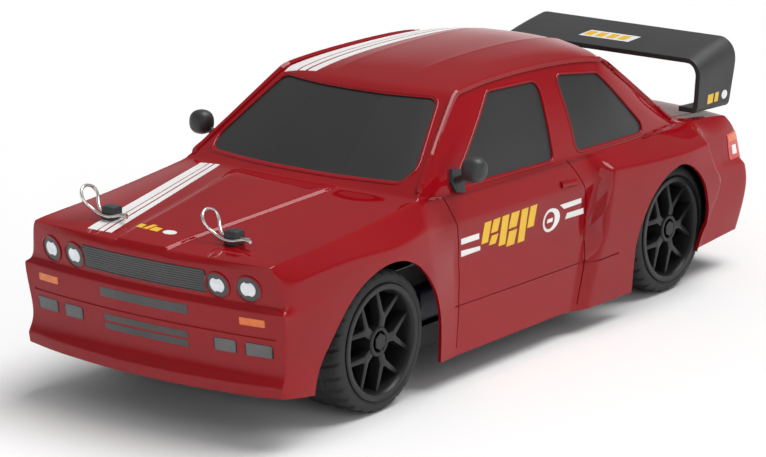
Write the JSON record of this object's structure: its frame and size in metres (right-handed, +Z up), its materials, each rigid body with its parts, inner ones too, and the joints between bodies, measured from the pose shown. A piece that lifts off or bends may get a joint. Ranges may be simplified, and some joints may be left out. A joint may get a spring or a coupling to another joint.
{
  "type": "radio-controlled drift car",
  "caption": "Small radio-controlled drift car with a lift-off saloon body, steering front wheels, sprung arms and a geared rear drive.",
  "frame": {"origin": "on the ground under the middle of the wheelbase, on the centre line", "axes": "+Y towards the tail, so the nose points along -Y; +X to the car's left; +Z up"},
  "size_m": [0.1264, 0.299, 0.0982],
  "materials": {
    "red_paint": "candy gloss red over polycarbonate",
    "smoked_window": "dark smoked, gloss",
    "black_trim": "satin",
    "wing_black": "satin",
    "black_plastic": "moulded nylon",
    "foam": "closed-cell foam",
    "lamp": "clear lens over a bright bowl",
    "tail_lens": "red lens",
    "clip_steel": "bright spring wire",
    "dark_steel": "blackened",
    "spring_steel": "coil wire",
    "motor_can": "plated can",
    "electronics": "moulded case",
    "battery_blue": "shrink wrap",
    "gear_nylon": "natural nylon",
    "brass": "cut brass",
    "rim_black": "satin black",
    "tyre_rubber": "matt rubber"
  },
  "bodies": {
    "chassis": {"battery_pack": "battery_blue", "battery_strap": "black_plastic", "body_clips": "clip_steel", "body_shell": "red_paint", "chassis_screws": "dark_steel", "chassis_tub": "black_plastic", "door_mirrors": "black_trim", "front_body_posts": "black_plastic", "front_bulkhead": "black_plastic", "front_bumper_foam": "foam", "front_shock_tower": "black_plastic", "gearbox_case": "black_plastic", "grille_insert": "black_trim", "headlights": "lamp", "hinge_pins": "dark_steel", "motor": "motor_can", "rear_body_posts": "black_plastic", "rear_shock_tower": "black_plastic", "rear_wing": "wing_black", "shock_bodies": "black_plastic", "speed_controller": "electronics", "steering_servo": "electronics", "tail_lights": "tail_lens", "window_glazing": "smoked_window", "spring_front_left": "spring_steel", "spring_front_right": "spring_steel", "spring_rear_left": "spring_steel", "spring_rear_right": "spring_steel"},
    "servo_horn": {"servo_horn": "black_plastic"},
    "idler_arm": {"idler_arm": "black_plastic"},
    "centre_link": {"centre_link": "black_plastic"},
    "spool": {"spool_gear": "gear_nylon"},
    "idler_gear": {"idler_gear": "gear_nylon"},
    "pinion": {"pinion_gear": "brass"},
    "power_switch": {"power_switch": "black_plastic"},
    "front_arm_left": {"front_arm_left": "black_plastic"},
    "knuckle_left": {"knuckle_left": "black_plastic", "front_axle_left": "dark_steel"},
    "front_wheel_left": {"rim_front_left": "rim_black", "tyre_front_left": "tyre_rubber"},
    "tie_rod_left": {"tie_rod_left": "black_plastic"},
    "rear_arm_left": {"rear_arm_left": "black_plastic"},
    "rear_wheel_left": {"half_shaft_left": "dark_steel", "rim_rear_left": "rim_black", "tyre_rear_left": "tyre_rubber"},
    "shock_rod_front_left": {"shock_rod_front_left": "dark_steel"},
    "shock_rod_rear_left": {"shock_rod_rear_left": "dark_steel"},
    "front_arm_right": {"front_arm_right": "black_plastic"},
    "knuckle_right": {"knuckle_right": "black_plastic", "front_axle_right": "dark_steel"},
    "front_wheel_right": {"rim_front_right": "rim_black", "tyre_front_right": "tyre_rubber"},
    "tie_rod_right": {"tie_rod_right": "black_plastic"},
    "rear_arm_right": {"rear_arm_right": "black_plastic"},
    "rear_wheel_right": {"half_shaft_right": "dark_steel", "rim_rear_right": "rim_black", "tyre_rear_right": "tyre_rubber"},
    "shock_rod_front_right": {"shock_rod_front_right": "dark_steel"},
    "shock_rod_rear_right": {"shock_rod_rear_right": "dark_steel"}
  },
  "joints": [
    {"name": "front_arm_left_swing", "type": "hinge", "parent": "chassis", "child": "front_arm_left", "pos_m": [0.01, -0.09, 0.012], "axis": [0, -1, 0], "range_deg": [-3, 2.5], "stiffness_Nm_per_rad": 2, "springref_deg": -1.03},
    {"name": "rear_arm_left_swing", "type": "hinge", "parent": "chassis", "child": "rear_arm_left", "pos_m": [0.016, 0.09, 0.024], "axis": [0, -1, 0], "range_deg": [-3, 2.5], "stiffness_Nm_per_rad": 2, "springref_deg": -1.15},
    {"name": "steer_left", "type": "hinge", "parent": "front_arm_left", "child": "knuckle_left", "pos_m": [0.028, -0.09, 0.024], "axis": [0, 0, 1], "range_deg": [-28, 28]},
    {"name": "tie_rod_left_pivot", "type": "hinge", "parent": "knuckle_left", "child": "tie_rod_left", "pos_m": [0.028, -0.075, 0.012], "axis": [0, 0, 1], "range_deg": [-28, 28]},
    {"name": "front_wheel_left_spin", "type": "hinge", "parent": "knuckle_left", "child": "front_wheel_left", "pos_m": [0.0425, -0.09, 0.024], "axis": [1, 0, 0], "continuous": true},
    {"name": "rear_wheel_left_spin", "type": "hinge", "parent": "rear_arm_left", "child": "rear_wheel_left", "pos_m": [0.016, 0.09, 0.024], "axis": [1, 0, 0], "continuous": true},
    {"name": "damper_front_left_slide", "type": "slide", "parent": "chassis", "child": "shock_rod_front_left", "axis": [0, 0, 1], "range_m": [-0.000517, 0.000435], "deforming": ["spring_front_left"]},
    {"name": "damper_rear_left_slide", "type": "slide", "parent": "chassis", "child": "shock_rod_rear_left", "axis": [0, 0, 1], "range_m": [-0.00057, 0.00048], "deforming": ["spring_rear_left"]},
    {"name": "front_arm_right_swing", "type": "hinge", "parent": "chassis", "child": "front_arm_right", "pos_m": [-0.01, -0.09, 0.012], "axis": [0, 1, 0], "range_deg": [-3, 2.5], "stiffness_Nm_per_rad": 2, "springref_deg": -1.03},
    {"name": "rear_arm_right_swing", "type": "hinge", "parent": "chassis", "child": "rear_arm_right", "pos_m": [-0.016, 0.09, 0.024], "axis": [0, 1, 0], "range_deg": [-3, 2.5], "stiffness_Nm_per_rad": 2, "springref_deg": -1.15},
    {"name": "steer_right", "type": "hinge", "parent": "front_arm_right", "child": "knuckle_right", "pos_m": [-0.028, -0.09, 0.024], "axis": [0, 0, 1], "range_deg": [-28, 28]},
    {"name": "tie_rod_right_pivot", "type": "hinge", "parent": "knuckle_right", "child": "tie_rod_right", "pos_m": [-0.028, -0.075, 0.012], "axis": [0, 0, 1], "range_deg": [-28, 28]},
    {"name": "front_wheel_right_spin", "type": "hinge", "parent": "knuckle_right", "child": "front_wheel_right", "pos_m": [-0.0425, -0.09, 0.024], "axis": [1, 0, 0], "continuous": true},
    {"name": "rear_wheel_right_spin", "type": "hinge", "parent": "rear_arm_right", "child": "rear_wheel_right", "pos_m": [-0.016, 0.09, 0.024], "axis": [1, 0, 0], "continuous": true},
    {"name": "damper_front_right_slide", "type": "slide", "parent": "chassis", "child": "shock_rod_front_right", "axis": [0, 0, 1], "range_m": [-0.000517, 0.000435], "deforming": ["spring_front_right"]},
    {"name": "damper_rear_right_slide", "type": "slide", "parent": "chassis", "child": "shock_rod_rear_right", "axis": [0, 0, 1], "range_m": [-0.00057, 0.00048], "deforming": ["spring_rear_right"]},
    {"name": "servo_horn_turn", "type": "hinge", "parent": "chassis", "child": "servo_horn", "pos_m": [0.01, -0.082, 0.017], "axis": [0, 0, 1], "range_deg": [-28, 28]},
    {"name": "idler_arm_turn", "type": "hinge", "parent": "chassis", "child": "idler_arm", "pos_m": [-0.01, -0.082, 0.017], "axis": [0, 0, 1], "range_deg": [-28, 28]},
    {"name": "centre_link_pivot", "type": "hinge", "parent": "servo_horn", "child": "centre_link", "pos_m": [0.01, -0.067, 0.0145], "axis": [0, 0, 1], "range_deg": [-28, 28]},
    {"name": "spool_spin", "type": "hinge", "parent": "chassis", "child": "spool", "pos_m": [0, 0.09, 0.024], "axis": [1, 0, 0], "continuous": true},
    {"name": "idler_gear_spin", "type": "hinge", "parent": "chassis", "child": "idler_gear", "pos_m": [0, 0.0685, 0.02955], "axis": [1, 0, 0], "continuous": true},
    {"name": "pinion_spin", "type": "hinge", "parent": "chassis", "child": "pinion", "pos_m": [0, 0.05398, 0.0258], "axis": [1, 0, 0], "continuous": true},
    {"name": "power_switch_slide", "type": "slide", "parent": "chassis", "child": "power_switch", "axis": [1, 0, 0], "range_m": [0, 0.0036]}
  ],
  "couplings": [
    {"joint": "tie_rod_left_pivot", "follows": "steer_left", "ratio": -1},
    {"joint": "damper_front_left_slide", "follows": "front_arm_left_swing", "m_per_rad": 0.0095},
    {"joint": "damper_rear_left_slide", "follows": "rear_arm_left_swing", "m_per_rad": 0.0105},
    {"joint": "tie_rod_right_pivot", "follows": "steer_left", "ratio": -1},
    {"joint": "damper_front_right_slide", "follows": "front_arm_right_swing", "m_per_rad": 0.0095},
    {"joint": "damper_rear_right_slide", "follows": "rear_arm_right_swing", "m_per_rad": 0.0105},
    {"joint": "steer_right", "follows": "steer_left", "ratio": 1},
    {"joint": "servo_horn_turn", "follows": "steer_left", "ratio": 1},
    {"joint": "idler_arm_turn", "follows": "steer_left", "ratio": 1},
    {"joint": "centre_link_pivot", "follows": "steer_left", "ratio": -1},
    {"joint": "rear_wheel_right_spin", "follows": "rear_wheel_left_spin", "ratio": 1},
    {"joint": "spool_spin", "follows": "rear_wheel_left_spin", "ratio": 1},
    {"joint": "idler_gear_spin", "follows": "rear_wheel_left_spin", "ratio": -1.0556},
    {"joint": "pinion_spin", "follows": "rear_wheel_left_spin", "ratio": 2.7143}
  ]
}
